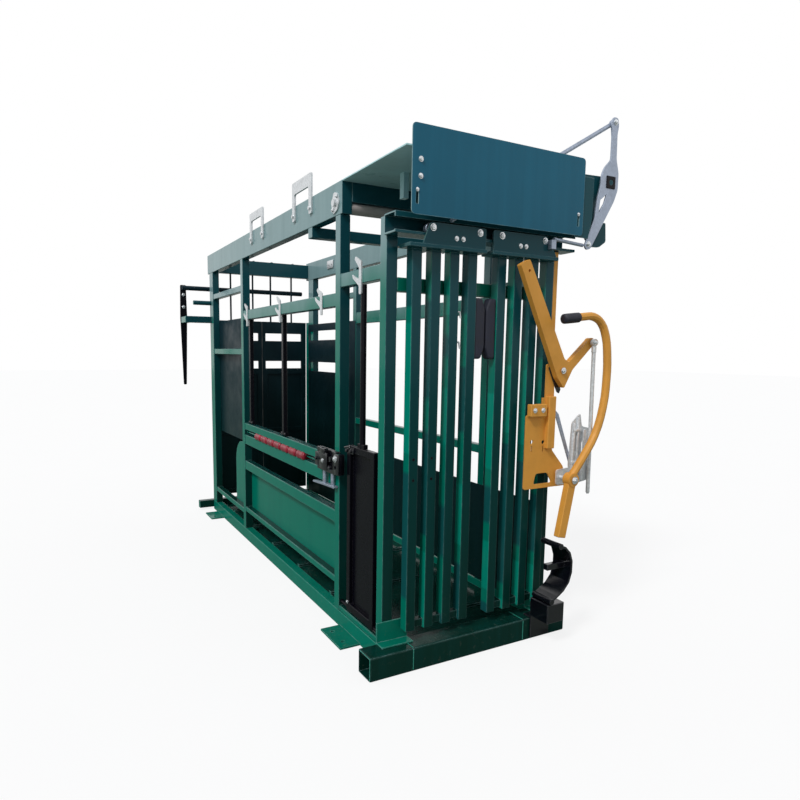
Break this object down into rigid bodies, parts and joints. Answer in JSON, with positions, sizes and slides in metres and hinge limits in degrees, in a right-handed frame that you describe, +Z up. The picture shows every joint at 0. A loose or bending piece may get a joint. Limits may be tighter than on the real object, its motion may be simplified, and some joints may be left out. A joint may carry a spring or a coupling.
{
  "type": "deer restraint crush",
  "caption": "Steel livestock crush with a sliding slatted head gate, yellow neck bar and handle, drop-down side door and bars, and a sliding rear gate.",
  "frame": {"origin": "middle of the underside of the front base beam, on the ground under the head gate", "axes": "+X to the right seen from the head gate, +Y back along the crush, +Z up"},
  "size_m": [1.3039, 3.168, 2.3143],
  "materials": {
    "green": "glossy dark green paint on welded steel",
    "bright_green": "bright green paint on steel",
    "yellow": "yellow-orange paint on steel",
    "galvanised": "dull galvanised steel",
    "black": "glossy black paint",
    "rubber": "black rubber",
    "red": "red moulded rubber"
  },
  "bodies": {
    "frame": {"base_front_beam": "green", "floor_plate": "green", "side_frame_left": "green", "side_frame_right": "green", "wall_panel_right": "green", "infill_sheet_left": "green", "kick_panel_left": "green", "top_rail_left": "green", "top_rail_right": "green", "canopy_sheet": "green", "front_header": "green", "rear_header": "green", "mid_cross_tube": "green", "gate_track": "green", "front_panel": "green", "base_rail_left": "bright_green", "base_rail_right": "bright_green", "base_rear_beam": "bright_green", "corner_gusset_left": "bright_green", "corner_gusset_right": "bright_green", "arch_plate_left": "bright_green", "front_cross_tube": "bright_green", "lever_bracket": "bright_green", "cross_shaft": "galvanised", "bearing_plate": "galvanised", "lift_strap_front": "galvanised", "lift_strap_rear": "galvanised", "curved_strap": "black", "beam_clamp": "black", "latch_block": "black", "bumper_sleeve": "red"},
    "right_leaf": {"leaf_right": "green", "leaf_post": "yellow", "neck_pad_right": "rubber", "latch_bracket": "yellow", "latch_plates": "galvanised", "stub_rod": "galvanised"},
    "left_leaf": {"leaf_left": "green", "neck_pad_left": "rubber"},
    "roller_left_outer": {"roller_left_0": "galvanised"},
    "roller_left_inner": {"roller_left_1": "galvanised"},
    "roller_right_inner": {"roller_right_0": "galvanised"},
    "roller_right_outer": {"roller_right_1": "galvanised"},
    "sync_lever": {"sync_lever": "galvanised", "lever_shaft": "green"},
    "link_rod": {"link_rod": "galvanised"},
    "handle": {"handle": "yellow", "handle_grip": "rubber"},
    "neck_bar": {"neck_bar": "yellow"},
    "pull_rod": {"pull_rod": "galvanised"},
    "side_door": {"side_door_left": "black", "drop_rod_front": "black", "drop_latch_front": "galvanised"},
    "drop_bar_middle": {"drop_bar_middle": "black", "drop_latch_middle": "galvanised"},
    "drop_bar_rear": {"drop_bar_rear": "black", "drop_latch_rear": "galvanised"},
    "rear_leaf_left": {"rear_leaf_left": "green"},
    "rear_leaf_right": {"rear_leaf_right": "green"},
    "rear_lever": {"rear_lever": "black"}
  },
  "joints": [
    {"name": "leaf_right_slide", "type": "slide", "parent": "frame", "child": "right_leaf", "axis": [1, 0, 0], "range_m": [0, 0.13]},
    {"name": "leaf_left_slide", "type": "slide", "parent": "frame", "child": "left_leaf", "axis": [-1, 0, 0], "range_m": [0, 0.13]},
    {"name": "roller_left_outer_spin", "type": "hinge", "parent": "left_leaf", "child": "roller_left_outer", "pos_m": [-0.299, -0.015, 1.767], "axis": [0, -1, 0], "range_deg": [0, 356]},
    {"name": "roller_left_inner_spin", "type": "hinge", "parent": "left_leaf", "child": "roller_left_inner", "pos_m": [-0.075, -0.015, 1.767], "axis": [0, -1, 0], "range_deg": [0, 356]},
    {"name": "roller_right_inner_spin", "type": "hinge", "parent": "right_leaf", "child": "roller_right_inner", "pos_m": [0.037, -0.015, 1.767], "axis": [0, 1, 0], "range_deg": [0, 356]},
    {"name": "roller_right_outer_spin", "type": "hinge", "parent": "right_leaf", "child": "roller_right_outer", "pos_m": [0.27, -0.015, 1.767], "axis": [0, 1, 0], "range_deg": [0, 356]},
    {"name": "sync_lever_swing", "type": "hinge", "parent": "frame", "child": "sync_lever", "pos_m": [0.605, -0.075, 2.041], "axis": [0, -1, 0], "range_deg": [0, 25.5]},
    {"name": "link_rod_pivot", "type": "hinge", "parent": "sync_lever", "child": "link_rod", "pos_m": [0.617, -0.063, 2.294], "axis": [0, 1, 0], "range_deg": [0, 25.5]},
    {"name": "handle_swing", "type": "hinge", "parent": "right_leaf", "child": "handle", "pos_m": [0.398, -0.13, 0.746], "axis": [0, 1, 0], "range_deg": [0, 33.5]},
    {"name": "neck_bar_swing", "type": "hinge", "parent": "right_leaf", "child": "neck_bar", "pos_m": [0.362, -0.075, 1.222], "axis": [0, -1, 0], "range_deg": [0, 25]},
    {"name": "pull_rod_pivot", "type": "hinge", "parent": "neck_bar", "child": "pull_rod", "pos_m": [0.53, -0.102, 1.345], "axis": [0, 1, 0], "range_deg": [0, 15.5]},
    {"name": "side_door_drop", "type": "hinge", "parent": "frame", "child": "side_door", "pos_m": [-0.43, 0.265, 0.12], "axis": [0, -1, 0], "range_deg": [0, 90]},
    {"name": "drop_bar_middle_drop", "type": "hinge", "parent": "frame", "child": "drop_bar_middle", "pos_m": [-0.422, 1.242, 0.8228], "axis": [0, -1, 0], "range_deg": [0, 90]},
    {"name": "drop_bar_rear_drop", "type": "hinge", "parent": "frame", "child": "drop_bar_rear", "pos_m": [-0.422, 1.86, 0.8228], "axis": [0, -1, 0], "range_deg": [0, 90]},
    {"name": "rear_leaf_left_slide", "type": "slide", "parent": "frame", "child": "rear_leaf_left", "axis": [-1, 0, 0], "range_m": [0, 0.12]},
    {"name": "rear_leaf_right_slide", "type": "slide", "parent": "frame", "child": "rear_leaf_right", "axis": [1, 0, 0], "range_m": [0, 0.12]},
    {"name": "rear_lever_swing", "type": "hinge", "parent": "frame", "child": "rear_lever", "pos_m": [-0.625, 2.99, 1.535], "axis": [0, -1, 0], "range_deg": [0, 28.5]}
  ],
  "couplings": [
    {"joint": "leaf_left_slide", "follows": "leaf_right_slide", "ratio": 1},
    {"joint": "roller_left_outer_spin", "follows": "leaf_right_slide", "rad_per_m": 47.619},
    {"joint": "roller_left_inner_spin", "follows": "leaf_right_slide", "rad_per_m": 47.619},
    {"joint": "roller_right_inner_spin", "follows": "leaf_right_slide", "rad_per_m": 47.619},
    {"joint": "roller_right_outer_spin", "follows": "leaf_right_slide", "rad_per_m": 47.619},
    {"joint": "sync_lever_swing", "follows": "leaf_right_slide", "rad_per_m": 3.38},
    {"joint": "link_rod_pivot", "follows": "leaf_right_slide", "rad_per_m": 3.38},
    {"joint": "handle_swing", "follows": "leaf_right_slide", "rad_per_m": 4.43},
    {"joint": "pull_rod_pivot", "follows": "neck_bar_swing", "ratio": 0.59},
    {"joint": "rear_leaf_right_slide", "follows": "rear_leaf_left_slide", "ratio": 1},
    {"joint": "rear_lever_swing", "follows": "rear_leaf_left_slide", "rad_per_m": 4.08}
  ]
}
